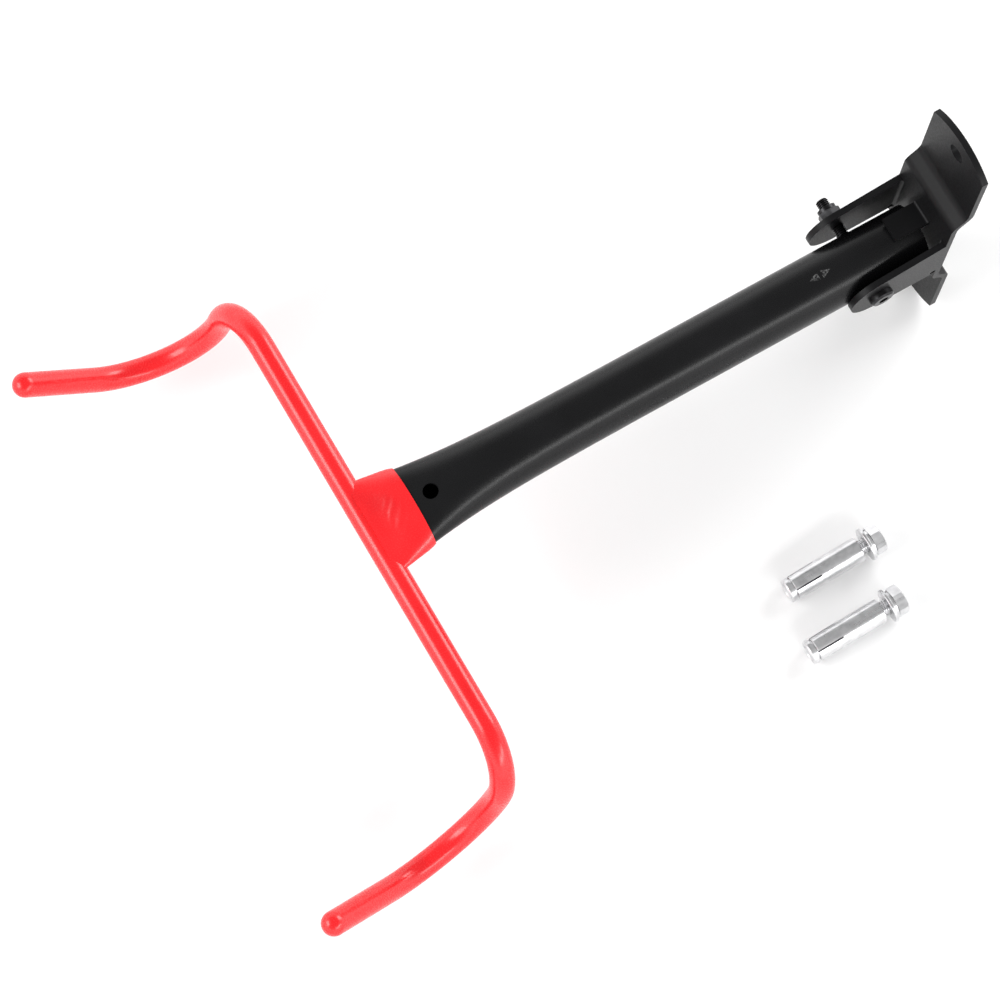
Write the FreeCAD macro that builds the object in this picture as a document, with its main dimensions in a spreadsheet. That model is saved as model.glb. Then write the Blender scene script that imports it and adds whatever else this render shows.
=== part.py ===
"""Folding wall hanger for a bicycle, with its two loose wall anchors.

A pressed steel wall bracket carries a round tube arm on one cross bolt. The
arm's far end is pressed flat and welded to a bent rod, whose two cradles are
dipped in soft plastic. The arm folds up against the wall.

Millimetres. The wall is the plane y = 0, the arm reaches towards -Y and +Z is
up. The origin is midway between the bracket's two wall holes.
"""
import FreeCAD, Part
import math
import os
import Sketcher
from FreeCAD import Placement, Rotation, Vector

SIZES = {
    # wall bracket, pressed from one sheet
    "plate_width": 53.0,
    "sheet_gauge": 4.0,
    "plate_corner": 107.0,      # height of the end corners above the centre
    "plate_crown": 10.0,        # rise of the curved ends above their corners
    "joggle_depth": 9.2,        # the middle of the plate stands off the wall
    "joggle_start": 40.5,
    "joggle_bend": 9.0,
    "wall_hole_spacing": 200.0,
    "wall_hole_radius": 6.0,
    "cheek_radius": 20.0,
    "cheek_flare": 6.5,         # rise of the cheeks' upper edge towards the plate
    "cheek_hole_radius": 4.2,
    "root_bend": 2.0,
    "relief_radius": 2.0,
    "relief_drop": 17.2,
    "tongue_width": 15.6,
    "tongue_reach": 22.9,
    "tongue_gap": 0.3,          # between the tongue and the arm's tail
    # pivot
    "pivot_standoff": 55.6,
    "pivot_drop": 9.5,
    "bolt_radius": 4.0,
    "bolt_length": 68.4,
    "bolt_head_radius": 7.8,
    "bolt_head": 4.4,
    "bolt_head_ease": 1.2,
    "socket_flats": 6.0,
    "socket_depth": 2.8,
    "bolt_point": 1.0,
    "washer_radius": 8.0,
    "washer_bore": 4.2,
    "washer_gauge": 1.6,
    "nut_flats": 13.0,
    "nut_hex": 5.6,
    "nut_collar": 2.4,
    "nut_collar_radius": 6.0,
    "nut_bore": 4.05,
    "insert_radius": 5.2,
    "insert_depth": 2.0,
    # arm tube
    "tube_radius": 19.05,
    "tube_wall": 2.0,
    "tube_side_play": 3.0,      # the tube rests nearer the +X cheek
    "tube_tail": 37.5,
    "arm_reach": 338.0,         # pivot to the middle of the cross rod
    "pivot_hole_radius": 4.08,
    "flare_spread": 10.4,
    "flare_fade": 50.0,
    "flare_shape": 1.35,
    "flare_start": 6.0,         # the tube's flat end, from the cross rod
    "flare_end": 166.0,
    "vent_radius": 4.75,
    "vent_reach": 40.0,
    # bent rod and its dipped coat
    "rod_radius": 6.0,
    "coat_gauge": 1.7,
    "rod_drop": 4.0,
    "cross_half": 166.5,
    "corner_bend": 38.0,
    "leg_length": 121.0,
    "leg_angle": 76.0,
    "cradle_bend": 50.0,
    "rise_length": 137.5,
    "rise_angle": 41.0,
    "splay_angle": 9.1,
    "neck_dip": 29.0,
    "bead_radius": 2.0,
    "bead_length": 30.0,
    "coat_gap": 0.06,           # keeps the coat's bore clear of the tube's skin
    # wall anchors
    "anchor_radius": 5.0,
    "anchor_neck_radius": 4.5,
    "anchor_length": 60.7,
    "anchor_flats": 17.0,
    "anchor_head": 7.0,
    "spring_washer_radius": 9.0,
    "spring_washer_gauge": 2.2,
    "spring_washer_gap": 2.0,
    "flat_washer_radius": 11.0,
    "flat_washer_gauge": 2.0,
    "anchor_washer_bore": 5.25,
    "sleeve_start": 8.7,
    "sleeve_length": 47.4,
    "sleeve_radius": 8.0,
    "sleeve_bore": 6.9,
    "slit_length": 17.8,
    "slit_width": 1.0,
    "cone_bore": 4.55,
    "cone_rim_radius": 7.8,
    "cone_tip_radius": 6.2,
    "cone_tip_length": 6.0,
    "cone_flare_length": 2.1,
    "anchor_tilt": 3.2,
    "anchor_roll": 20.0,
}

FLARE_STEPS = 16            # even spacing keeps the flare's skin fair
NECK_STEPS = 3
# where each anchor lies: x and y under its head, and its turn about +Z
ANCHOR_SPOTS = ((138.7, -116.8, 1.0), (178.5, -125.4, 0.9))

doc = FreeCAD.newDocument("FoldingBikeHanger")
sheet = doc.addObject("Spreadsheet::Sheet", "Sizes")


# ---------------------------------------------------------------- sizes

class Size:
    """A number together with the spreadsheet expression that gives it."""

    def __init__(self, value, text=None):
        self.value = float(value)
        self.text = text or "(%s)" % repr(float(value))

    def __add__(self, other):
        other = as_size(other)
        return Size(self.value + other.value, "(%s + %s)" % (self.text, other.text))

    def __sub__(self, other):
        other = as_size(other)
        return Size(self.value - other.value, "(%s - %s)" % (self.text, other.text))

    def __mul__(self, other):
        other = as_size(other)
        return Size(self.value * other.value, "(%s * %s)" % (self.text, other.text))

    def __truediv__(self, other):
        other = as_size(other)
        return Size(self.value / other.value, "(%s / %s)" % (self.text, other.text))

    def __pow__(self, other):
        other = as_size(other)
        return Size(self.value ** other.value, "(%s ^ %s)" % (self.text, other.text))

    def __neg__(self):
        return Size(-self.value, "(0 - %s)" % self.text)


def as_size(number):
    return number if isinstance(number, Size) else Size(number)


def size(alias):
    return Size(SIZES[alias], "Sizes." + alias)


def exponential(power):
    return Size(math.exp(power.value), "exp(%s)" % power.text)


def fill_sheet():
    for row, (alias, number) in enumerate(SIZES.items(), start=1):
        sheet.set("A%d" % row, alias.replace("_", " "))
        sheet.set("B%d" % row, str(number))
        sheet.setAlias("B%d" % row, alias)
    doc.recompute()


def bind(thing, **sizes):
    """Give a property of a FreeCAD object each size, and its expression."""
    for name, amount in sizes.items():
        amount = as_size(amount)
        setattr(thing, name, amount.value)
        thing.setExpression(name, amount.text)


def place(thing, x=0, y=0, z=0, turn=None):
    """Put an object at sizes x, y, z, turned by a fixed rotation."""
    base = [as_size(amount) for amount in (x, y, z)]
    rotation = turn or Rotation()
    thing.Placement = Placement(Vector(*[amount.value for amount in base]), rotation)
    for axis, amount in zip("xyz", base):
        thing.setExpression(".Placement.Base." + axis, amount.text)
    return thing


fill_sheet()

GAUGE = size("sheet_gauge")
HALF_PLATE = size("plate_width") / 2
PLATE_TOP = size("plate_corner") + size("plate_crown")
WEB_BACK = -size("joggle_depth")
WEB_FRONT = WEB_BACK - GAUGE
PIVOT_Y = -size("pivot_standoff")
PIVOT_Z = -size("pivot_drop")
ARM_X = size("tube_side_play")
ROD_Y = PIVOT_Y - size("arm_reach")
ROD_Z = PIVOT_Z - size("rod_drop")
COAT_RADIUS = size("rod_radius") + size("coat_gauge")

ALONG_X = Rotation(Vector(0, 1, 0), 90)
ALONG_MINUS_X = Rotation(Vector(0, 1, 0), -90)
ALONG_MINUS_Y = Rotation(Vector(1, 0, 0), 90)


# ---------------------------------------------------------------- primitives

def cylinder(name, radius, height):
    thing = doc.addObject("Part::Cylinder", name)
    bind(thing, Radius=radius, Height=height)
    return thing


def cone(name, start_radius, end_radius, height):
    thing = doc.addObject("Part::Cone", name)
    bind(thing, Radius1=start_radius, Radius2=end_radius, Height=height)
    return thing


def box(name, length, width, height):
    thing = doc.addObject("Part::Box", name)
    bind(thing, Length=length, Width=width, Height=height)
    return thing


def ellipse(name, half_width, half_height):
    """An upright ellipse across the arm, wider than it is high."""
    thing = doc.addObject("Part::Ellipse", name)
    bind(thing, MajorRadius=half_width, MinorRadius=half_height)
    return thing


def loft(name, sections):
    thing = doc.addObject("Part::Loft", name)
    thing.Sections = sections
    thing.Solid = True
    return thing


def fuse(name, pieces):
    thing = doc.addObject("Part::MultiFuse", name)
    thing.Shapes = pieces
    return thing


def cut(name, base, *tools):
    """Take each tool in turn away from the base."""
    for number, tool in enumerate(tools, start=1):
        last = number == len(tools)
        thing = doc.addObject("Part::Cut", name if last else "%s_stage_%d" % (name, number))
        thing.Base = base
        thing.Tool = tool
        base = thing
    return base


def common(name, first, second):
    thing = doc.addObject("Part::Common", name)
    thing.Base = first
    thing.Tool = second
    return thing


def ring(name, outer, bore, height):
    return cut(name, cylinder(name + "_disc", outer, height), cylinder(name + "_hole", bore, height))


def hexagon(name, flats, height):
    """Hexagon on z = 0 with its top corners turned down at 30 degrees."""
    prism = doc.addObject("Part::Prism", name + "_prism")
    prism.Polygon = 6
    bind(prism, Circumradius=flats / math.sqrt(3), Height=height)
    top_radius = flats * 0.475
    turned = cone(name + "_turned", top_radius + height * math.sqrt(3), top_radius, height)
    return common(name, prism, turned)


# ---------------------------------------------------------------- sketches

def pin_point(sketch, geometry, end, across, up):
    """Fix one sketch point at two sizes from the sketch's origin."""
    for kind, amount in (("DistanceX", across), ("DistanceY", up)):
        amount = as_size(amount)
        index = sketch.addConstraint(Sketcher.Constraint(kind, -1, 1, geometry, end, amount.value))
        sketch.setExpression("Constraints[%d]" % index, amount.text)


def pin_radius(sketch, geometry, radius):
    index = sketch.addConstraint(Sketcher.Constraint("Radius", geometry, radius.value))
    sketch.setExpression("Constraints[%d]" % index, radius.text)


def new_sketch(body, role, name):
    sketch = body.newObject("Sketcher::SketchObject", name)
    plane = [item for item in body.Origin.OriginFeatures if item.Role == role][0]
    sketch.AttachmentSupport = [(plane, "")]
    sketch.MapMode = "FlatFace"
    return sketch


def flat_point(point):
    return Vector(as_size(point[0]).value, as_size(point[1]).value, 0)


def arc_over(start, end, radius):
    """Minor arc that runs anticlockwise from start to end."""
    chord = end - start
    rise = math.sqrt(max(radius ** 2 - (chord.Length / 2) ** 2, 0.0))
    centre = (start + end) * 0.5 + Vector(-chord.y, chord.x, 0).normalize() * rise
    angles = [math.atan2(point.y - centre.y, point.x - centre.x) for point in (start, end)]
    circle = Part.Circle(centre, Vector(0, 0, 1), radius)
    return Part.ArcOfCircle(circle, angles[0], angles[1])


def outline(body, role, name, points, arc=None):
    """Closed outline through points, anticlockwise or not, of straight sides.

    arc = (index, radius) makes the side that leaves that point an
    anticlockwise arc.
    """
    sketch = new_sketch(body, role, name)
    count = len(points)
    for index, point in enumerate(points):
        start = flat_point(point)
        end = flat_point(points[(index + 1) % count])
        if arc and arc[0] == index:
            side = sketch.addGeometry(arc_over(start, end, as_size(arc[1]).value))
        else:
            side = sketch.addGeometry(Part.LineSegment(start, end))
        pin_point(sketch, side, 1, *point)
    for index in range(count):
        sketch.addConstraint(Sketcher.Constraint("Coincident", index, 2, (index + 1) % count, 1))
    if arc:
        pin_radius(sketch, arc[0], as_size(arc[1]))
    return sketch


def circles(body, role, name, centres, radius):
    sketch = new_sketch(body, role, name)
    for centre in centres:
        circle = sketch.addGeometry(Part.Circle(flat_point(centre), Vector(0, 0, 1), radius.value))
        pin_point(sketch, circle, 3, *centre)
        pin_radius(sketch, circle, radius)
    return sketch


def pad(body, name, sketch, length):
    feature = body.newObject("PartDesign::Pad", name)
    feature.Profile = sketch
    feature.SideType = "Symmetric"
    bind(feature, Length=length)
    doc.recompute()
    return feature


def pocket(body, name, sketch, length):
    """Cut a sketch through the body, the same way to both sides of its plane."""
    before = body.Shape.Volume
    feature = body.newObject("PartDesign::Pocket", name)
    feature.Profile = sketch
    feature.SideType = "Symmetric"
    bind(feature, Length=length)
    doc.recompute()
    if body.Shape.Volume >= before - 0.1:
        raise RuntimeError(name + " cut nothing")
    return feature


def fillet(body, name, base, chosen, radius):
    """Round the edges of base for which chosen(edge's middle, direction) holds."""
    names = []
    for index, edge in enumerate(base.Shape.Edges, start=1):
        if edge.Curve.TypeId != "Part::GeomLine":
            continue
        middle = edge.valueAt((edge.FirstParameter + edge.LastParameter) / 2)
        if chosen(middle, edge.tangentAt(edge.FirstParameter)):
            names.append("Edge%d" % index)
    feature = body.newObject("PartDesign::Fillet", name)
    feature.Base = (base, names)
    bind(feature, Radius=radius)
    doc.recompute()
    return feature


# ---------------------------------------------------------------- wall bracket

def joggled_strip(body):
    """The plate from the side: two ends on the wall, the middle stood off it."""
    low = size("joggle_start")
    high = low + size("joggle_depth")
    lift = GAUGE * (math.sqrt(2) - 1)
    upper = [
        (0, PLATE_TOP), (0, high), (WEB_BACK, low),
    ]
    lower = [(across, -as_size(up)) for across, up in reversed(upper)]
    front_lower = [
        (-GAUGE, -PLATE_TOP), (-GAUGE, -(high + lift)), (WEB_FRONT, -(low + lift)),
    ]
    front_upper = [(across, -up) for across, up in reversed(front_lower)]
    side = outline(body, "YZ_Plane", "plate_side", upper + lower + front_lower + front_upper)
    strip = pad(body, "plate_strip", side, size("plate_width"))

    def at_joggle(middle, direction):
        return abs(direction.x) > 0.9 and low.value - 1 < abs(middle.z) < high.value + 3
    return fillet(body, "joggle_bends", strip, at_joggle, size("joggle_bend"))


def crown_ends(body):
    """Round both ends of the plate to a shallow arc."""
    corner = size("plate_corner")
    crown = size("plate_crown")
    margin = HALF_PLATE + 1
    radius = (HALF_PLATE ** 2 + crown ** 2) / (crown * 2)
    drop = corner - 1
    for name, sign in (("upper", 1), ("lower", -1)):
        points = [
            (HALF_PLATE * sign, corner * sign),
            (-HALF_PLATE * sign, corner * sign),
            (-margin * sign, corner * sign),
            (-margin * sign, (PLATE_TOP + 2) * sign),
            (margin * sign, (PLATE_TOP + 2) * sign),
            (margin * sign, corner * sign),
        ]
        trim = outline(body, "XZ_Plane", name + "_crown", points, arc=(0, radius))
        pocket(body, name + "_end", trim, drop)


def cheeks(body):
    """Two side walls that reach forward from the plate, round about the pivot."""
    radius = size("cheek_radius")
    top = PIVOT_Z + radius
    bottom = PIVOT_Z - radius
    flared = top + size("cheek_flare")
    side = [(PIVOT_Y, top), (PIVOT_Y, bottom), (WEB_BACK, bottom), (WEB_BACK, flared)]
    profile = outline(body, "YZ_Plane", "cheek_side", side, arc=(0, radius * 1.000001))
    pad(body, "cheek_block", profile, size("plate_width"))
    clear = radius * 2
    inside = [
        (WEB_FRONT, PIVOT_Z - clear), (WEB_FRONT, PIVOT_Z + clear),
        (PIVOT_Y - clear, PIVOT_Z + clear), (PIVOT_Y - clear, PIVOT_Z - clear),
    ]
    gap = outline(body, "YZ_Plane", "cheek_gap", inside)
    opened = pocket(body, "cheek_opening", gap, size("plate_width") - GAUGE * 2)
    inner = HALF_PLATE - GAUGE

    def at_root(middle, direction):
        beside = abs(abs(middle.x) - inner.value) < 0.1
        return beside and abs(direction.z) > 0.9 and abs(middle.y - WEB_FRONT.value) < 0.1
    fillet(body, "root_bends", opened, at_root, size("root_bend"))


def tongue(body):
    """A tongue that stands out of the web over the arm's tail: the stop at level."""
    under = PIVOT_Z + size("tube_radius") + size("tongue_gap")
    over = under + GAUGE
    front = WEB_FRONT - size("tongue_reach")
    side = [(WEB_BACK, under), (WEB_BACK, over), (front, over), (front, under)]
    blade = pad(body, "tongue_blade", outline(body, "YZ_Plane", "tongue_side", side),
                size("tongue_width"))

    def at_root(middle, direction):
        level = abs(middle.z - over.value) < 0.1
        return level and abs(middle.y - WEB_FRONT.value) < 0.1 and abs(direction.x) > 0.9
    fillet(body, "tongue_bend", blade, at_root, size("root_bend"))


def bracket_holes(body):
    half_spacing = size("wall_hole_spacing") / 2
    wall_holes = circles(body, "XZ_Plane", "wall_hole_circles",
                         [(0, half_spacing), (0, -half_spacing)], size("wall_hole_radius"))
    pocket(body, "wall_holes", wall_holes, size("plate_width"))
    pivot_holes = circles(body, "YZ_Plane", "pivot_hole_circle",
                          [(PIVOT_Y, PIVOT_Z)], size("cheek_hole_radius"))
    pocket(body, "pivot_holes", pivot_holes, size("plate_width") + 2)
    relief = size("relief_radius")
    spot = (WEB_FRONT - relief - 0.1, PIVOT_Z - size("relief_drop"))
    reliefs = circles(body, "YZ_Plane", "relief_circle", [spot], relief)
    pocket(body, "relief_holes", reliefs, size("plate_width") + 2)


def wall_bracket():
    body = doc.addObject("PartDesign::Body", "wall_bracket")
    joggled_strip(body)
    cheeks(body)
    tongue(body)
    crown_ends(body)
    bracket_holes(body)
    return body


# ---------------------------------------------------------------- pivot fasteners

def with_shank(name, head, radius, length, point, neck=None):
    """Bolt from its head, which stands on z = 0, and a shank below it.

    neck = (radius, start) thins the shank from that depth down.
    """
    pieces = [head]
    end_radius = radius
    full = length - point
    if neck:
        end_radius, full = neck
        thin = cylinder(name + "_neck", end_radius, length - point - full)
        pieces.append(place(thin, z=point - length))
    shank = place(cylinder(name + "_shank", radius, full), z=-full)
    tip = place(cone(name + "_tip", end_radius - point * 0.8, end_radius, point), z=-length)
    return fuse(name, pieces + [shank, tip])


def socket_head():
    """Low round head with an eased rim and a hexagon socket."""
    radius = size("bolt_head_radius")
    ease = size("bolt_head_ease")
    drum = cylinder("bolt_drum", radius, size("bolt_head") - ease)
    rim = place(cone("bolt_rim", radius, radius - ease, ease), z=size("bolt_head") - ease)
    socket = doc.addObject("Part::Prism", "bolt_socket")
    socket.Polygon = 6
    bind(socket, Circumradius=size("socket_flats") / math.sqrt(3), Height=size("socket_depth"))
    place(socket, z=size("bolt_head") - size("socket_depth"))
    return cut("bolt_head", fuse("bolt_head_solid", [drum, rim]), socket)


def pivot_bolt():
    bolt = with_shank("pivot_bolt", socket_head(), size("bolt_radius"), size("bolt_length"),
                      size("bolt_point"))
    return place(bolt, HALF_PLATE, PIVOT_Y, PIVOT_Z, ALONG_X)


def pivot_washer():
    washer = ring("pivot_washer", size("washer_radius"), size("washer_bore"), size("washer_gauge"))
    return place(washer, -HALF_PLATE, PIVOT_Y, PIVOT_Z, ALONG_MINUS_X)


def pivot_nut():
    """Locking nut: a hexagon with a collar that holds a nylon ring."""
    hexed = hexagon("pivot_nut_hex", size("nut_flats"), size("nut_hex"))
    collar = cylinder("pivot_nut_collar", size("nut_collar_radius"), size("nut_collar"))
    solid = fuse("pivot_nut_solid", [hexed, place(collar, z=size("nut_hex"))])
    height = size("nut_hex") + size("nut_collar")
    bore = cylinder("pivot_nut_bore", size("nut_bore"), height)
    seat = cylinder("pivot_nut_seat", size("insert_radius"), size("insert_depth"))
    holes = fuse("pivot_nut_holes", [bore, place(seat, z=height - size("insert_depth"))])
    nut = cut("pivot_nut", solid, holes)
    start = -HALF_PLATE - size("washer_gauge")
    place(nut, start, PIVOT_Y, PIVOT_Z, ALONG_MINUS_X)
    insert = ring("pivot_nut_insert", size("insert_radius"), size("nut_bore"), size("insert_depth"))
    place(insert, start - height + size("insert_depth"), PIVOT_Y, PIVOT_Z, ALONG_MINUS_X)
    return [nut, insert]


# ---------------------------------------------------------------- arm tube

def half_width_at(reach):
    """Half the tube's width at a distance from the cross rod."""
    fade = (as_size(reach) / size("flare_fade")) ** size("flare_shape")
    return size("tube_radius") + size("flare_spread") * exponential(-fade)


def half_height_at(reach):
    """Half its height there: flattening leaves the tube's girth as it was."""
    power = math.log(2) / math.log(math.pi / 2)
    quarter_girth = (size("tube_radius") * (math.pi / 2)) ** power
    return (quarter_girth - half_width_at(reach) ** power) ** (1 / power)


def section(name, reach, half_width, half_height):
    """Ellipse across the arm at a distance from the cross rod."""
    thing = ellipse(name, half_width, half_height)
    return place(thing, ARM_X, ROD_Y + reach, PIVOT_Z, ALONG_MINUS_Y)


def arm_form(name, inset):
    """The arm as a solid bar, its surface set in by a wall thickness."""
    sections = []
    flare_end = size("flare_end")
    step = (flare_end - size("flare_start")) / FLARE_STEPS
    for number in range(FLARE_STEPS):
        reach = size("flare_start") + step * number
        sections.append(section("%s_section_%d" % (name, number), reach,
                                half_width_at(reach) - inset, half_height_at(reach) - inset))
    radius = size("tube_radius") - inset
    sections.append(section(name + "_section_round", flare_end, radius, radius))
    flare = loft(name + "_flare", sections)
    length = size("arm_reach") + size("tube_tail") - flare_end
    straight = cylinder(name + "_straight", radius, length)
    place(straight, ARM_X, PIVOT_Y + size("tube_tail"), PIVOT_Z, ALONG_MINUS_Y)
    return fuse(name, [flare, straight])


def arm_tube(outside):
    inside = arm_form("arm_inside", size("tube_wall"))
    across = cylinder("arm_pivot_drill", size("pivot_hole_radius"), size("plate_width"))
    place(across, ARM_X - HALF_PLATE, PIVOT_Y, PIVOT_Z, ALONG_X)
    vent = cylinder("arm_vent_drill", size("vent_radius"), size("tube_radius"))
    place(vent, ARM_X, ROD_Y + size("vent_reach"), PIVOT_Z)
    return cut("arm_tube", outside, inside, across, vent)


# ---------------------------------------------------------------- bent rod and coat

def rounded_path(points, radii):
    """Wire of straight runs whose inner corners are tangent arcs."""
    edges = []
    start = points[0]
    for before, corner, after, radius in zip(points, points[1:], points[2:], radii):
        towards = (before - corner).normalize()
        away = (after - corner).normalize()
        half = towards.getAngle(away) / 2
        setback = radius / math.tan(half)
        first = corner + towards * setback
        last = corner + away * setback
        bisector = (towards + away).normalize()
        middle = corner + bisector * (radius / math.sin(half) - radius)
        edges.append(Part.LineSegment(start, first).toShape())
        edges.append(Part.Arc(first, middle, last).toShape())
        start = last
    edges.append(Part.LineSegment(start, points[-1]).toShape())
    return Part.Wire(edges)


def cell(alias):
    return float(sheet.get(alias))


def rod_points():
    """Corner points of the rod from one tip to the other."""
    leg = math.radians(cell("leg_angle"))
    rise = math.radians(cell("rise_angle"))
    splay = math.radians(cell("splay_angle"))
    sides = []
    for sign in (-1, 1):
        outward = Vector(sign * math.sin(splay), -math.cos(splay), 0)
        corner = Vector(ARM_X.value + sign * cell("cross_half"), ROD_Y.value, ROD_Z.value)
        down = outward * math.cos(leg) - Vector(0, 0, math.sin(leg))
        up = outward * math.cos(rise) + Vector(0, 0, math.sin(rise))
        cradle = corner + down * cell("leg_length")
        sides.append([cradle + up * cell("rise_length"), cradle, corner])
    return sides[0] + sides[1][::-1]


def rod_path():
    path = doc.addObject("Part::Feature", "rod_path")
    bends = [cell("cradle_bend"), cell("corner_bend"), cell("corner_bend"), cell("cradle_bend")]
    path.Shape = rounded_path(rod_points(), bends)
    return path


def turned_to(direction):
    return Rotation(Vector(0, 0, 1), direction)


def swept(name, path, radius):
    """Round bar along the rod's path."""
    points = rod_points()
    circle = doc.addObject("Part::Circle", name + "_circle")
    bind(circle, Radius=radius)
    circle.Placement = Placement(points[0], turned_to(points[1] - points[0]))
    bar = doc.addObject("Part::Sweep", name)
    bar.Sections = [circle]
    bar.Spine = (path, ["Edge%d" % (i + 1) for i in range(len(path.Shape.Edges))])
    bar.Solid = True
    bar.Frenet = False
    return bar


def tip_domes():
    """Half balls of coating that close the two tips."""
    points = rod_points()
    domes = []
    for name, tip, before in (("left", points[0], points[1]), ("right", points[-1], points[-2])):
        dome = doc.addObject("Part::Sphere", "tip_dome_" + name)
        bind(dome, Radius=COAT_RADIUS)
        dome.Angle1 = 0
        dome.Placement = Placement(tip, turned_to(tip - before))
        domes.append(dome)
    return domes


def bead_spots():
    """Reach and height of the two weld beads between tube end and rod."""
    return (("upper", Size(4.5), PIVOT_Z + 1.5), ("lower", Size(7.5), PIVOT_Z - 7))


def weld_bars(name, extra):
    bars = []
    length = size("bead_length") + extra * 2
    for side, reach, height in bead_spots():
        bar = cylinder("%s_%s" % (name, side), size("bead_radius") + extra, length)
        bars.append(place(bar, ARM_X - length / 2, ROD_Y + reach, height, ALONG_X))
    return bars


def neck_weld(rod, outside):
    metal = fuse("weld_metal", weld_bars("weld_bar", Size(0)))
    return cut("neck_weld", metal, rod, outside)


def neck_cover():
    """Coating over the flattened end, from inside the rod's coat to its edge."""
    coat = size("coat_gauge")
    start = size("flare_start")
    edge = size("neck_dip")
    first = section("neck_cover_start", Size(0), half_width_at(start) + coat / 2, size("rod_radius"))
    sections = [first]
    for number in range(NECK_STEPS):
        reach = start + (edge - start) / NECK_STEPS * number
        sections.append(section("neck_cover_%d" % number, reach,
                                half_width_at(reach) + coat, half_height_at(reach) + coat))
    sections.append(section("neck_cover_edge", edge,
                            half_width_at(edge) + coat / 2, half_height_at(edge) + coat / 2))
    return loft("neck_cover", sections)


def fork_coating(path, rod, weld):
    bar = swept("coat_bar", path, COAT_RADIUS)
    covers = weld_bars("bead_cover", size("coat_gauge"))[1:]
    bore = arm_form("coat_bore", Size(0) - size("coat_gap"))
    outer = fuse("coat_outer", [bar, neck_cover()] + tip_domes() + covers)
    return cut("fork_coating", outer, rod, bore, weld)


# ---------------------------------------------------------------- wall anchors

def anchor_bolt(number):
    name = "anchor_bolt_%d" % number
    head = hexagon(name + "_head", size("anchor_flats"), size("anchor_head"))
    return with_shank(name, head, size("anchor_radius"), size("anchor_length"), size("bolt_point"),
                      neck=(size("anchor_neck_radius"), size("anchor_length") / 2))


def anchor_spring_washer(number):
    name = "anchor_spring_washer_%d" % number
    gauge = size("spring_washer_gauge")
    full = ring(name + "_full", size("spring_washer_radius"), size("anchor_washer_bore"), gauge)
    place(full, z=-gauge)
    gap = box(name + "_gap", size("spring_washer_radius") * 2, size("spring_washer_gap"), gauge * 2)
    place(gap, y=-size("spring_washer_gap") / 2, z=-gauge * 1.5)
    return cut(name, full, gap)


def anchor_washer(number):
    washer = ring("anchor_washer_%d_ring" % number, size("flat_washer_radius"),
                  size("anchor_washer_bore"), size("flat_washer_gauge"))
    place(washer, z=-size("spring_washer_gauge") - size("flat_washer_gauge"))
    return fuse_single("anchor_washer_%d" % number, washer)


def fuse_single(name, piece):
    """Wrap one placed piece, so that the whole can be placed again."""
    thing = doc.addObject("Part::Compound", name)
    thing.Links = [piece]
    return thing


def anchor_sleeve(number):
    """Thin sleeve, slit in four at its far end so that the cone can spread it."""
    name = "anchor_sleeve_%d" % number
    bottom = -size("sleeve_start") - size("sleeve_length")
    tube = place(ring(name + "_tube", size("sleeve_radius"), size("sleeve_bore"),
                      size("sleeve_length")), z=bottom)
    width = size("slit_width")
    across = size("sleeve_radius") * 2 + 2
    height = size("slit_length") + 1
    first = place(box(name + "_slit_x", across, width, height), -across / 2, -width / 2, bottom - 1)
    second = place(box(name + "_slit_y", width, across, height), -width / 2, -across / 2, bottom - 1)
    return cut(name, tube, fuse(name + "_slits", [first, second]))


def anchor_cone(number):
    """Cone nut: its nose sits in the sleeve and its rim closes the end."""
    name = "anchor_cone_%d" % number
    mouth = -size("sleeve_start") - size("sleeve_length")
    flare = size("cone_flare_length")
    rim_top = mouth - flare
    nose_radius = size("sleeve_bore") - 0.05
    nose = place(cone(name + "_nose", nose_radius, size("cone_tip_radius"),
                      size("cone_tip_length")), z=mouth)
    rim_radius = size("cone_rim_radius")
    spread = place(cone(name + "_spread", rim_radius, nose_radius, flare), z=rim_top)
    rim_height = rim_top + size("anchor_length")
    rim = place(cylinder(name + "_rim", rim_radius, rim_height), z=-size("anchor_length"))
    solid = fuse(name + "_solid", [nose, spread, rim])
    bore = place(cylinder(name + "_bore", size("cone_bore"), size("anchor_length")),
                 z=-size("anchor_length"))
    return cut(name, solid, bore)


def lay_anchor(pieces, spot):
    """Lay an anchor on its washer's rim and its cone, head towards the wall."""
    x, y, turn = spot
    tilt = math.radians(cell("anchor_tilt"))
    rim_offset = cell("spring_washer_gauge") + cell("flat_washer_gauge") / 2
    lift = cell("flat_washer_radius") * math.cos(tilt) + (rim_offset + 1) * math.sin(tilt)
    height = Size(lift) - PLATE_TOP
    spin = Rotation(Vector(0, 0, 1), cell("anchor_roll"))
    level = Rotation(Vector(1, 0, 0), cell("anchor_tilt") - 90)
    yaw = Rotation(Vector(0, 0, 1), turn)
    for piece in pieces:
        place(piece, x, y, height, yaw.multiply(level).multiply(spin))


def anchors():
    makers = (anchor_bolt, anchor_spring_washer, anchor_washer, anchor_sleeve, anchor_cone)
    nodes = []
    for number, spot in enumerate(ANCHOR_SPOTS, start=1):
        pieces = [maker(number) for maker in makers]
        lay_anchor(pieces, spot)
        nodes += pieces
    return nodes


# ---------------------------------------------------------------- build and write

def build():
    path = rod_path()
    outside = arm_form("arm_outside", Size(0))
    rod = swept("fork_rod", path, size("rod_radius"))
    weld = neck_weld(rod, outside)
    nodes = [wall_bracket(), pivot_bolt(), pivot_washer()] + pivot_nut()
    nodes += [arm_tube(outside), rod, weld, fork_coating(path, rod, weld)]
    return nodes + anchors()


def check(nodes):
    doc.recompute()
    failed = [item.Name for item in doc.Objects if {"Invalid", "Error"} & set(item.State)]
    if failed:
        raise RuntimeError("failed objects: " + ", ".join(failed))
    for node in nodes:
        if node.Shape.isNull() or not node.Shape.isValid() or not node.Shape.Solids:
            raise RuntimeError(node.Label + " has no valid solid")


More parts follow.
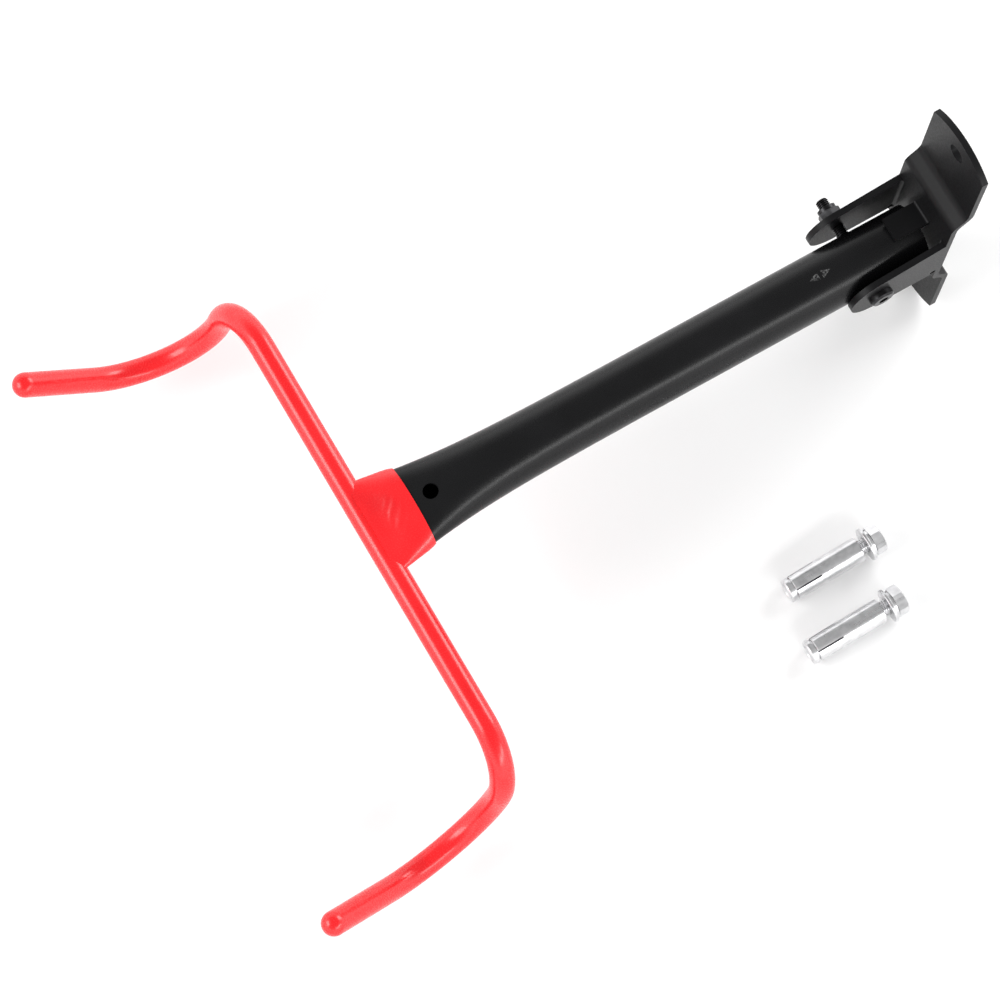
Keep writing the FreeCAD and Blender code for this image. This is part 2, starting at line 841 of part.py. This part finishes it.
def write(nodes):
    os.makedirs("parts", exist_ok=True)
    for node in nodes:
        node.Shape.exportStep("parts/%s.step" % node.Label)
        box_size = node.Shape.BoundBox
        print("%-26s %2d solid(s) %10.1f mm3  %6.1f x %6.1f x %6.1f" % (
            node.Label, len(node.Shape.Solids), node.Shape.Volume,
            box_size.XLength, box_size.YLength, box_size.ZLength))


parts = build()
check(parts)
write(parts)
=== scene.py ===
"""Looks of the folding wall hanger: dipped fork, coated arm and bracket, plated fasteners."""
import math

import bmesh
import bpy
from mathutils import Matrix, Vector


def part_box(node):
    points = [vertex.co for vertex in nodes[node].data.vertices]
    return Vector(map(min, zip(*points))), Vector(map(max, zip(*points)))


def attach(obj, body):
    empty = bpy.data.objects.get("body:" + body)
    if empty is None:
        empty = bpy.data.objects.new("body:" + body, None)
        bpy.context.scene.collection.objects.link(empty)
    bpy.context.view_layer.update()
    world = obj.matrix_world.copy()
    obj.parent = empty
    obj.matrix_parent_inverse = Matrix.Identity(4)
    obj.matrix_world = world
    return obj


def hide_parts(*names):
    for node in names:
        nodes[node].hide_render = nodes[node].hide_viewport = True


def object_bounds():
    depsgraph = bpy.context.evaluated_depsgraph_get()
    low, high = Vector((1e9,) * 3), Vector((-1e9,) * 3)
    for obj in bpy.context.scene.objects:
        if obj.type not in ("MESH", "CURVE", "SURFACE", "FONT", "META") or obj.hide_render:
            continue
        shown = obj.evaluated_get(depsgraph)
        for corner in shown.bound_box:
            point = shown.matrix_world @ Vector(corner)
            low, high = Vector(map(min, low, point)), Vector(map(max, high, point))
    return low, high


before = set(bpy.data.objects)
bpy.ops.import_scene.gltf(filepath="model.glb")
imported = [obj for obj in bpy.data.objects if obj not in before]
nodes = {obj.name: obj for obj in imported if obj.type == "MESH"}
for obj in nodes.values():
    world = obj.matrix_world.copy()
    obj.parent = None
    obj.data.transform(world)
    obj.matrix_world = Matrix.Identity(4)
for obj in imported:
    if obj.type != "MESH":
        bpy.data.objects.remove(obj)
cad_low, cad_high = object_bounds()

MM = 0.001
TURN = math.tau


# ---------------------------------------------------------------- places on the object

def node_centre(name):
    low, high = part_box(name)
    return (low + high) / 2


PIVOT = Vector((0, node_centre("pivot_washer").y, node_centre("pivot_washer").z))
TUBE_X = node_centre("fork_coating").x
TUBE_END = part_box("arm_tube")[0].y
CROSS_Y = TUBE_END - 6 * MM          # the cross rod lies just ahead of the tube's end
LAP = 0.05 * MM                      # overlap where two shells of one piece meet


# ---------------------------------------------------------------- shader helpers

class Shader:
    """A material under construction: makes nodes and joins them."""

    def __init__(self, name):
        self.material = bpy.data.materials.new(name)
        self.material.use_nodes = True
        self.tree = self.material.node_tree
        self.surface = self.tree.nodes["Principled BSDF"]
        self.place = self.add("ShaderNodeTexCoord").outputs["Object"]

    def add(self, kind, **settings):
        node = self.tree.nodes.new(kind)
        for key, value in settings.items():
            setattr(node, key, value)
        return node

    def join(self, source, target):
        self.tree.links.new(source, target)

    def feed(self, node, **inputs):
        for key, value in inputs.items():
            socket = node.inputs[key.replace("_", " ")]
            if isinstance(value, bpy.types.NodeSocket):
                self.join(value, socket)
            else:
                socket.default_value = value
        return node

    def set(self, **inputs):
        self.feed(self.surface, **inputs)

    def mapped(self, centre=(0, 0, 0), stretch=(1, 1, 1), turn=(0, 0, 0)):
        """Object coordinates measured from a centre, turned and stretched."""
        moved = self.add("ShaderNodeMapping", vector_type="TEXTURE")
        self.feed(moved, Vector=self.place, Location=centre, Rotation=turn)
        scaled = self.add("ShaderNodeMapping")
        self.feed(scaled, Vector=moved.outputs["Vector"], Scale=stretch)
        return scaled.outputs["Vector"]

    def noise(self, scale, detail=3.0, where=None):
        node = self.add("ShaderNodeTexNoise")
        self.feed(node, Vector=where or self.place, Scale=scale, Detail=detail, Roughness=0.5)
        return node.outputs["Fac"]

    def ramp(self, source, low, high, start=0.0, end=1.0):
        """Map source from start..end to low..high, held at the ends."""
        node = self.add("ShaderNodeMapRange")
        node.clamp = True
        self.join(source, node.inputs["Value"])
        for key, value in (("From Min", start), ("From Max", end), ("To Min", low), ("To Max", high)):
            node.inputs[key].default_value = value
        return node.outputs["Result"]

    def math(self, operation, first, second=0.0):
        node = self.add("ShaderNodeMath", operation=operation)
        for socket, value in zip(node.inputs, (first, second)):
            if isinstance(value, bpy.types.NodeSocket):
                self.join(value, socket)
            else:
                socket.default_value = value
        return node.outputs["Value"]

    def colours(self, factor, dark, light):
        node = self.add("ShaderNodeMix", data_type="RGBA")
        self.join(factor, node.inputs["Factor"])
        node.inputs[6].default_value = (*dark, 1)
        node.inputs[7].default_value = (*light, 1)
        return node.outputs[2]

    def over(self, factor, under, colour):
        """Lay a plain colour over another colour socket."""
        node = self.add("ShaderNodeMix", data_type="RGBA")
        self.join(factor, node.inputs[0])
        self.join(under, node.inputs[6])
        node.inputs[7].default_value = (*colour, 1)
        return node.outputs[2]

    def axes(self, where):
        node = self.add("ShaderNodeSeparateXYZ")
        self.join(where, node.inputs[0])
        return node.outputs

    def bump(self, height, distance, strength=1.0, under=None):
        node = self.add("ShaderNodeBump")
        self.feed(node, Height=height, Distance=distance, Strength=strength)
        if under:
            self.join(under, node.inputs["Normal"])
        return node.outputs["Normal"]


# ---------------------------------------------------------------- finishes

SAG_REACH = 17 * MM                  # from the cross rod to the middle of the sags
SAG_HALF_WIDTH = 11 * MM
SAG_HALF_DEPTH = 6 * MM
MARK_REACH = 30.5 * MM               # from the pivot to the middle of the double arrow
MARK_TURN = 0.05
ARROW_LENGTH = 7.5 * MM              # from the mark's middle to an arrow's tip
ARROW_SLOPE = 0.42
ARROW_GAP = 1.1 * MM                 # half the gap between the two arrows


def dipped_vinyl():
    """Glossy red dip: thick, a little wavy, with drawn-out sags near the weld."""
    shader = Shader("dipped_vinyl")
    flow = shader.noise(38, detail=2.0)
    grain = shader.noise(900, detail=1.0)
    tone = shader.ramp(flow, 0, 1, 0.3, 0.7)
    colour = shader.colours(tone, (0.72, 0.005, 0.009), (0.88, 0.011, 0.015))
    weld = shader.mapped(centre=(TUBE_X, CROSS_Y + SAG_REACH, 0))
    x, y, z = shader.axes(weld)
    reach = shader.math("MULTIPLY", x, x)
    depth = shader.math("MULTIPLY", y, y)
    near = shader.math("ADD", shader.math("DIVIDE", reach, SAG_HALF_WIDTH ** 2),
                       shader.math("DIVIDE", depth, SAG_HALF_DEPTH ** 2))
    mask = shader.ramp(near, 1, 0, 0.0, 1.6)
    ripple = shader.add("ShaderNodeTexWave", wave_type="BANDS", bands_direction="DIAGONAL")
    shader.feed(ripple, Vector=weld, Scale=75.0, Distortion=3.0, Detail=2.0)
    sag = shader.math("MULTIPLY", mask, ripple.outputs["Fac"])
    waves = shader.bump(flow, 0.35 * MM, 0.5)
    sags = shader.bump(sag, 0.35 * MM, 0.55, under=waves)
    shader.set(Base_Color=colour, Roughness=shader.ramp(grain, 0.22, 0.30, 0.3, 0.7),
               Normal=shader.bump(grain, 0.02 * MM, 0.25, under=sags))
    shader.set(IOR=1.5, Coat_Weight=0.15, Coat_Roughness=0.12)
    return shader.material


def powder_black(name, tint, low, high, peel, gloss):
    """Black powder coat with fine orange peel."""
    shader = Shader(name)
    cloud = shader.noise(24, detail=4.0)
    fine = shader.noise(1100, detail=2.0)
    medium = shader.noise(320, detail=2.0)
    lighter = tuple(part * 1.7 for part in tint)
    colour = shader.colours(shader.ramp(cloud, 0, 1, 0.35, 0.7), tint, lighter)
    shader.set(Base_Color=colour, Roughness=shader.ramp(fine, low, high, 0.35, 0.65),
               Normal=shader.bump(fine, 0.03 * MM, peel, under=shader.bump(medium, 0.05 * MM, peel)))
    shader.set(IOR=1.45, Specular_IOR_Level=gloss)
    return shader


def tube_black():
    """The arm's coat, with a small worn double arrow on top near the pivot."""
    shader = powder_black("arm_powder_coat", (0.0038, 0.0038, 0.0042), 0.24, 0.31, 0.10, 0.3)
    centre = (TUBE_X, PIVOT.y - MARK_REACH, 0)
    x, y, z = shader.axes(shader.mapped(centre=centre, turn=(0, 0, MARK_TURN)))
    along = shader.math("ABSOLUTE", y)
    across = shader.math("ABSOLUTE", x)
    taper = shader.math("MULTIPLY", shader.math("SUBTRACT", ARROW_LENGTH, along), ARROW_SLOPE)
    inside = shader.math("LESS_THAN", across, taper)
    off_centre = shader.math("GREATER_THAN", along, ARROW_GAP)
    on_top = shader.math("GREATER_THAN", z, 0.0)
    worn = shader.ramp(shader.noise(900, detail=3.0), 0, 1, 0.42, 0.60)
    mark = shader.math("MULTIPLY", shader.math("MULTIPLY", inside, off_centre),
                       shader.math("MULTIPLY", on_top, worn))
    target = shader.surface.inputs["Base Color"]
    coat = target.links[0].from_socket
    faint = shader.math("MULTIPLY", mark, 0.85)
    shader.join(shader.over(faint, coat, (0.14, 0.14, 0.14)), target)
    return shader.material


def plated(name, dark, light, low, high):
    """Plated steel, slightly clouded, with fine drawn lines and pits."""
    shader = Shader(name)
    cloud = shader.noise(160, detail=3.0)
    lines = shader.noise(420, detail=3.0, where=shader.mapped(stretch=(1, 0.12, 1)))
    pits = shader.noise(1600, detail=2.0)
    colour = shader.colours(shader.ramp(cloud, 0, 1, 0.35, 0.65), dark, light)
    shader.set(Base_Color=colour, Metallic=1.0, Roughness=shader.ramp(lines, low, high, 0.3, 0.7),
               Normal=shader.bump(pits, 0.012 * MM, 0.3, under=shader.bump(lines, 0.02 * MM, 0.3)))
    return shader.material


def nylon():
    shader = Shader("nylon_ring")
    mottle = shader.noise(600, detail=3.0)
    colour = shader.colours(mottle, (0.62, 0.62, 0.58), (0.78, 0.78, 0.74))
    shader.set(Base_Color=colour, Roughness=0.5, Normal=shader.bump(mottle, 0.03 * MM, 0.3))
    return shader.material


def bare_steel():
    shader = Shader("bare_steel")
    lines = shader.noise(500, detail=3.0)
    colour = shader.colours(lines, (0.30, 0.30, 0.31), (0.46, 0.46, 0.47))
    shader.set(Base_Color=colour, Metallic=1.0, Roughness=shader.ramp(lines, 0.35, 0.5, 0.3, 0.7))
    return shader.material


VINYL = dipped_vinyl()
ARM_COAT = tube_black()
BRACKET_COAT = powder_black("bracket_powder_coat", (0.0045, 0.0045, 0.0049), 0.36, 0.46,
                            0.15, 0.18).material
DARK_ZINC = plated("dark_zinc", (0.020, 0.020, 0.021), (0.045, 0.045, 0.047), 0.28, 0.42)
BRIGHT_ZINC = plated("bright_zinc", (0.66, 0.66, 0.67), (0.80, 0.80, 0.81), 0.26, 0.36)
NYLON = nylon()
STEEL = bare_steel()


# ---------------------------------------------------------------- mesh helpers

def piece(name, mesh, material, body, slot, *replaced):
    """Turn a bmesh into an object that rides on a body."""
    data = bpy.data.meshes.new(name)
    mesh.to_mesh(data)
    mesh.free()
    made = bpy.data.objects.new(name, data)
    bpy.context.scene.collection.objects.link(made)
    data.materials.append(material)
    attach(made, body)
    if replaced:
        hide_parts(*replaced)
    return made


def shade(mesh, sharp_over=35):
    """Smooth faces, with edges sharper than an angle kept crisp."""
    limit = math.radians(sharp_over)
    for face in mesh.faces:
        face.smooth = True
    for edge in mesh.edges:
        edge.smooth = len(edge.link_faces) == 2 and edge.calc_face_angle(0) < limit
    return mesh


def copy_of(node):
    """Merged copy of a frame node's mesh."""
    mesh = bmesh.new()
    mesh.from_mesh(nodes[node].data)
    bmesh.ops.remove_doubles(mesh, verts=mesh.verts, dist=0.002 * MM)
    return mesh


def keep_side(mesh, point, direction):
    """Cut the mesh by a plane, keep the side that direction points to, and close the cut."""
    everything = mesh.verts[:] + mesh.edges[:] + mesh.faces[:]
    bmesh.ops.bisect_plane(mesh, geom=everything, dist=1e-7, plane_co=point, plane_no=direction,
                           clear_inner=True)
    rim = [edge for edge in mesh.edges if len(edge.link_faces) == 1]
    bmesh.ops.holes_fill(mesh, edges=rim, sides=0)


FLAT_WITHIN = math.radians(0.6)      # faces closer in angle than this are joined
SHARP_OVER = math.radians(28)        # edges sharper than this are rounded


def softened(node, width):
    """Copy of a frame node whose sharp edges are slightly rounded."""
    mesh = copy_of(node)
    bmesh.ops.dissolve_limit(mesh, angle_limit=FLAT_WITHIN, use_dissolve_boundaries=False,
                             verts=mesh.verts[:], edges=mesh.edges[:])
    sharp = [edge for edge in mesh.edges
             if len(edge.link_faces) == 2 and edge.calc_face_angle(0) > SHARP_OVER]
    bmesh.ops.bevel(mesh, geom=sharp, offset=width, offset_type="OFFSET", affect="EDGES",
                    segments=2, profile=0.5, material=-1, clamp_overlap=True)
    return shade(mesh)


def spun(outline, steps=64):
    """Closed solid of revolution about local z; outline is (radius, height) in order."""
    mesh = bmesh.new()
    points = [mesh.verts.new((radius, 0, height)) for radius, height in outline]
    edges = [mesh.edges.new(pair) for pair in zip(points, points[1:])]
    bmesh.ops.spin(mesh, geom=points + edges, cent=(0, 0, 0), axis=(0, 0, 1), angle=TURN,
                   steps=steps, use_merge=True)
    bmesh.ops.remove_doubles(mesh, verts=mesh.verts, dist=0.001 * MM)
    bmesh.ops.recalc_face_normals(mesh, faces=mesh.faces)
    return mesh


def ring(outer, bore, low, high, round_over):
    """Flat ring with eased corners."""
    outline = [
        (bore, low), (outer - round_over, low), (outer, low + round_over),
        (outer, high - round_over), (outer - round_over, high), (bore, high), (bore, low),
    ]
    return spun(outline)


def thread(major, pitch, low, high, steps=32):
    """Screw thread on a solid core along local z, cut square at both ends."""
    depth = pitch * 0.6
    root = major - depth
    crest_flat = pitch * 0.1
    flank = pitch * 0.38
    mesh = bmesh.new()
    start = low - pitch
    profile = [
        (root, start), (major, start + flank), (major, start + flank + crest_flat),
        (root, start + flank * 2 + crest_flat), (root, start + pitch),
    ]
    points = [mesh.verts.new((radius, 0, height)) for radius, height in profile]
    edges = [mesh.edges.new(pair) for pair in zip(points, points[1:])]
    turns = math.ceil((high - low) / pitch) + 2
    count = turns * steps
    bmesh.ops.spin(mesh, geom=points + edges, cent=(0, 0, 0), axis=(0, 0, 1),
                   dvec=(0, 0, pitch / steps), angle=TURN * turns, steps=count)
    bmesh.ops.remove_doubles(mesh, verts=mesh.verts, dist=0.002 * MM)
    keep_side(mesh, (0, 0, low), (0, 0, 1))
    keep_side(mesh, (0, 0, high), (0, 0, -1))
    bmesh.ops.recalc_face_normals(mesh, faces=mesh.faces)
    return mesh


def merged(*meshes):
    """One bmesh that holds the shells of several."""
    whole = bmesh.new()
    for mesh in meshes:
        data = bpy.data.meshes.new("shell")
        mesh.to_mesh(data)
        mesh.free()
        whole.from_mesh(data)
        bpy.data.meshes.remove(data)
    return whole


def moved(mesh, matrix):
    bmesh.ops.transform(mesh, matrix=matrix, verts=mesh.verts)
    return mesh


# ---------------------------------------------------------------- bracket and pivot

EDGE_EASE = 0.45 * MM
PIVOT_MAJOR = 3.97 * MM              # just inside the bolt's plain shank
PIVOT_PITCH = 1.25 * MM
PIVOT_NOSE = 0.62 * MM               # length of the bolt's blunt point


def bracket():
    mesh = softened("wall_bracket", EDGE_EASE)
    made = piece("wall_bracket_formed", mesh, BRACKET_COAT, "bracket", "bracket_black", "wall_bracket")
    even = made.modifiers.new("even_faces", "WEIGHTED_NORMAL")
    even.keep_sharp = True


def pivot_bolt():
    """The bolt's head from the frame, with a cut thread in place of its plain shank."""
    cheek_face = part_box("wall_bracket")[1].x
    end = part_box("pivot_bolt")[0].x
    head = copy_of("pivot_bolt")
    keep_side(head, (cheek_face - LAP, 0, 0), (1, 0, 0))
    shank = thread(PIVOT_MAJOR, PIVOT_PITCH, end + 0.6 * MM, cheek_face)
    shoulder = end + PIVOT_NOSE
    nose = spun([(0, end), (3.0 * MM, end), (3.5 * MM, shoulder), (0, shoulder)], 32)
    along_x = Matrix.Translation((0, PIVOT.y, PIVOT.z)) @ Matrix.Rotation(math.pi / 2, 4, "Y")
    body = moved(merged(shank, nose), along_x)
    piece("pivot_bolt_threaded", shade(merged(head, body), 40), DARK_ZINC, "bracket",
          "dark_zinc", "pivot_bolt")


# ---------------------------------------------------------------- wall anchors

HEAD_FACE = 3.2 * MM                 # from the head's bearing plane to the flat washer's middle
ANCHOR_LENGTH = 60.7 * MM
ANCHOR_MAJOR = 4.97 * MM
ANCHOR_PITCH = 1.5 * MM
ANCHOR_CORE = 4.3 * MM
THREAD_LENGTH = 17 * MM
WASHER_RADIUS = 11 * MM
WASHER_BORE = 5.25 * MM
WASHER_GAUGE = 2 * MM
SPLIT_RADIUS = 8.6 * MM
SPLIT_GAUGE = 1.9 * MM
SPLIT_RISE = 0.25 * MM               # climb of the coil over its turn
SPLIT_GAP = 0.9 * MM                 # half the gap between its cut ends
SLEEVE_TOP = 8.7 * MM
SLEEVE_LENGTH = 47.4 * MM
SLEEVE_RADIUS = 8.0 * MM
SLEEVE_WALL = 1.1 * MM
SLEEVE_DRAWN = 0.25 * MM             # how far the slit end draws in
SLIT_LENGTH = 17.8 * MM
SLIT_WIDTH = 1.1 * MM
SLIT_TURN = math.radians(26)
CONE_RADIUS = 7.8 * MM
CONE_BORE = 4.4 * MM
CONE_DEPTH = 6 * MM                  # how far the cone reaches into the sleeve


def anchor_place(number):
    """Matrix from an anchor's own axes (head on top) to where it lies."""
    washer = node_centre("anchor_washer_%d" % number)
    sleeve = node_centre("anchor_sleeve_%d" % number)
    up = (washer - sleeve).normalized()
    side = Vector((0, 0, 1)).cross(up).normalized()
    front = up.cross(side)
    turn = Matrix((side, front, up)).transposed().to_4x4()
    return Matrix.Translation(washer + up * HEAD_FACE) @ turn


def anchor_bolt(number, place):
    head = copy_of("anchor_bolt_%d" % number)
    up = place.to_3x3() @ Vector((0, 0, 1))
    keep_side(head, place @ Vector((0, 0, -LAP)), up)
    shank = thread(ANCHOR_MAJOR, ANCHOR_PITCH, -THREAD_LENGTH, 0)
    core, ease = ANCHOR_CORE, 0.6 * MM
    joint = -THREAD_LENGTH + LAP
    nose = spun([(0, -ANCHOR_LENGTH), (core - ease, -ANCHOR_LENGTH),
                 (core, -ANCHOR_LENGTH + ease), (core, joint), (0, joint)], 40)
    body = moved(merged(shank, nose), place)
    return shade(merged(head, body), 40)


def split_washer(place):
    """Spring washer: a square-section coil whose cut ends stand a little apart."""
    bore, outer, gauge = WASHER_BORE, SPLIT_RADIUS, SPLIT_GAUGE
    steps = 60
    mesh = bmesh.new()
    square = [(bore, 0), (outer, 0), (outer, gauge), (bore, gauge)]
    corners = [mesh.verts.new((radius, 0, height)) for radius, height in square]
    face = mesh.faces.new(corners)
    gap = 2 * math.asin(SPLIT_GAP / outer)
    bmesh.ops.spin(mesh, geom=[face], cent=(0, 0, 0), axis=(0, 0, 1),
                   dvec=(0, 0, SPLIT_RISE / steps), angle=TURN - gap, steps=steps)
    bmesh.ops.recalc_face_normals(mesh, faces=mesh.faces)
    bottom = -gauge - SPLIT_RISE - 0.02 * MM
    drop = Matrix.Translation((0, 0, bottom)) @ Matrix.Rotation(0.6, 4, "Z")
    return shade(moved(mesh, place @ drop))


def sleeve(place):
    """Slit sleeve that draws in a little towards its slit end."""
    top = -SLEEVE_TOP
    bottom = top - SLEEVE_LENGTH
    outer, wall, drawn = SLEEVE_RADIUS, SLEEVE_WALL, SLEEVE_DRAWN
    ease = 0.3 * MM
    outline = [
        (outer - wall, top), (outer - ease, top), (outer, top - ease),
        (outer, bottom + SLIT_LENGTH), (outer - drawn * 0.35, bottom + SLIT_LENGTH * 0.45),
        (outer - drawn, bottom + ease), (outer - drawn - ease, bottom), (outer - wall, bottom),
        (outer - wall, top),
    ]
    mesh = spun(outline, 96)
    for turn in range(2):
        cut_slit(mesh, bottom, turn * math.pi / 2)
    return shade(moved(mesh, place @ Matrix.Rotation(SLIT_TURN, 4, "Z")), 30)


def cut_slit(mesh, bottom, turn):
    """Cut one pair of opposite slits by planes, and close their sides."""
    across = Vector((-math.sin(turn), math.cos(turn), 0))
    everything = mesh.verts[:] + mesh.edges[:] + mesh.faces[:]
    for side in (-1, 1):
        bmesh.ops.bisect_plane(mesh, geom=everything, dist=1e-7,
                               plane_co=across * side * SLIT_WIDTH / 2, plane_no=across)
        everything = mesh.verts[:] + mesh.edges[:] + mesh.faces[:]
    bmesh.ops.bisect_plane(mesh, geom=everything, dist=1e-7,
                           plane_co=(0, 0, bottom + SLIT_LENGTH), plane_no=(0, 0, 1))
    gone = []
    for face in mesh.faces:
        middle = face.calc_center_median()
        if middle.z < bottom + SLIT_LENGTH and abs(middle.dot(across)) < SLIT_WIDTH / 2:
            gone.append(face)
    bmesh.ops.delete(mesh, geom=gone, context="FACES")
    wall_slit(mesh, across, bottom + SLIT_LENGTH)
    bmesh.ops.recalc_face_normals(mesh, faces=mesh.faces)


def wall_between(mesh, points, order):
    """One face from the outer skin's points to the inner skin's, taken in order."""
    middle = SLEEVE_RADIUS - 0.8 * MM
    points = sorted(points, key=order)
    outside = [point for point in points if point.co.xy.length > middle]
    inside = [point for point in points if point.co.xy.length <= middle]
    mesh.faces.new(outside + inside[::-1])


def wall_slit(mesh, across, top):
    """Side walls and end wall of two opposite slits, through the sleeve's thickness."""
    along = across.cross(Vector((0, 0, 1)))
    near = 1e-6
    rim = {point for edge in mesh.edges if len(edge.link_faces) == 1 for point in edge.verts}
    for end in (-1, 1):
        ours = [point for point in rim if point.co.dot(along) * end > 0]
        for side in (-1, 1):
            offset = side * SLIT_WIDTH / 2
            wall_between(mesh, [point for point in ours
                                if abs(point.co.dot(across) - offset) < near],
                         lambda point: point.co.z)
        wall_between(mesh, [point for point in ours if abs(point.co.z - top) < near],
                     lambda point: point.co.dot(across))


def cone_nut(place):
    """Cone nut: its nose in the sleeve, a neck that shows as a dark gap, a ringed rim."""
    mouth = -SLEEVE_TOP - SLEEVE_LENGTH
    end = -ANCHOR_LENGTH
    tip = mouth + CONE_DEPTH
    rim, bore = CONE_RADIUS, CONE_BORE
    outline = [
        (bore, tip), (5.8 * MM, tip), (6.4 * MM, mouth),
        (6.3 * MM, mouth - 0.9 * MM), (rim - 0.3 * MM, mouth - 1.0 * MM),
        (rim, mouth - 1.3 * MM), (rim, end + 0.6 * MM), (rim - 0.5 * MM, end),
        (bore + 0.9 * MM, end), (bore + 0.7 * MM, end + 0.35 * MM), (bore, end + 0.35 * MM),
        (bore, tip),
    ]
    return shade(moved(spun(outline, 72), place), 30)


def flat_washer(place):
    top = -HEAD_FACE + 1.0 * MM
    mesh = ring(WASHER_RADIUS, WASHER_BORE, top - WASHER_GAUGE, top, 0.35 * MM)
    return shade(moved(mesh, place))


def anchor(number):
    place = anchor_place(number)
    body = "anchor_%d" % number
    parts = {
        "anchor_bolt": anchor_bolt(number, place),
        "anchor_spring_washer": split_washer(place),
        "anchor_washer": flat_washer(place),
        "anchor_sleeve": sleeve(place),
        "anchor_cone": cone_nut(place),
    }
    for name, mesh in parts.items():
        node = "%s_%d" % (name, number)
        piece(name + "_made_%d" % number, mesh, BRIGHT_ZINC, body, "bright_zinc", node)


# ---------------------------------------------------------------- frame nodes shown as they are

def finish_frame():
    plain = {
        "arm_tube": ARM_COAT, "fork_coating": VINYL, "fork_rod": STEEL, "neck_weld": STEEL,
        "wall_bracket": BRACKET_COAT, "pivot_bolt": DARK_ZINC, "pivot_washer": BRIGHT_ZINC,
        "pivot_nut": DARK_ZINC, "pivot_nut_insert": NYLON,
    }
    for name, thing in nodes.items():
        thing.data.materials.clear()
        thing.data.materials.append(plain.get(name, BRIGHT_ZINC))


# ---------------------------------------------------------------- stage

FLOOR_Z = cad_low.z - 0.05 * MM


def floor():
    mesh = bmesh.new()
    bmesh.ops.create_grid(mesh, x_segments=1, y_segments=1, size=4.0)
    bmesh.ops.translate(mesh, verts=mesh.verts, vec=(0, 0, FLOOR_Z))
    data = bpy.data.meshes.new("floor")
    mesh.to_mesh(data)
    mesh.free()
    made = bpy.data.objects.new("floor", data)
    bpy.context.scene.collection.objects.link(made)
    paper = Shader("white_paper")
    tone = paper.noise(3, detail=2.0)
    paper.set(Base_Color=paper.colours(tone, (0.90, 0.90, 0.90), (0.93, 0.93, 0.93)), Roughness=0.9)
    paper.set(Specular_IOR_Level=0.0)
    data.materials.append(paper.material)


def soft_box(name, place, aim, wide, high, power):
    light = bpy.data.lights.new(name, "AREA")
    light.shape = "RECTANGLE"
    light.size, light.size_y = wide, high
    light.energy = power
    made = bpy.data.objects.new(name, light)
    bpy.context.scene.collection.objects.link(made)
    made.location = place
    made.rotation_mode = "QUATERNION"
    made.rotation_quaternion = (Vector(aim) - Vector(place)).to_track_quat("-Z", "Y")


def studio_sky():
    """Dim overhead and bright near the horizon, so that tops stay dark and rims catch light."""
    world = bpy.data.worlds.new("studio")
    world.use_nodes = True
    tree = world.node_tree
    direction = tree.nodes.new("ShaderNodeTexCoord").outputs["Generated"]
    parts = tree.nodes.new("ShaderNodeSeparateXYZ")
    tree.links.new(direction, parts.inputs[0])
    fade = tree.nodes.new("ShaderNodeMapRange")
    fade.interpolation_type = "SMOOTHSTEP"
    for key, value in (("From Min", 0.15), ("From Max", 0.75), ("To Min", 1.7), ("To Max", 0.42)):
        fade.inputs[key].default_value = value
    tree.links.new(parts.outputs["Z"], fade.inputs["Value"])
    background = tree.nodes["Background"]
    background.inputs["Color"].default_value = (1, 1, 1, 1)
    tree.links.new(fade.outputs["Result"], background.inputs["Strength"])
    bpy.context.scene.world = world


def lights():
    middle = (cad_low + cad_high) / 2
    soft_box("back_box", (-0.5, 1.9, 1.25), middle, 1.6, 1.0, 30)
    soft_box("front_box", (-0.5, -2.2, 1.3), middle, 1.6, 1.0, 30)
    soft_box("strip_box", (1.5, 0.05, 0.85), middle, 1.7, 0.3, 11)
    studio_sky()


CAMERA_PLACE = Vector((0.53858, -0.72213, 2.27432))
CAMERA_RIGHT = Vector((0.50264, 0.86359, 0.03951))
CAMERA_UP = Vector((-0.83701, 0.47472, 0.27213))
CAMERA_LENS = 145.19
SENSOR_WIDTH = 36


def camera():
    data = bpy.data.cameras.new("camera")
    data.lens = CAMERA_LENS
    data.sensor_width = SENSOR_WIDTH
    data.clip_end = 20
    made = bpy.data.objects.new("camera", data)
    bpy.context.scene.collection.objects.link(made)
    right = CAMERA_RIGHT.normalized()
    back = right.cross(CAMERA_UP).normalized()
    up = back.cross(right)
    turn = Matrix((right, up, back)).transposed().to_4x4()
    made.matrix_world = Matrix.Translation(CAMERA_PLACE) @ turn
    bpy.context.scene.camera = made


# ---------------------------------------------------------------- assembly

finish_frame()
bracket()
pivot_bolt()
for number in (1, 2):
    anchor(number)
floor()
lights()
camera()
bpy.context.scene.view_settings.view_transform = "Standard"
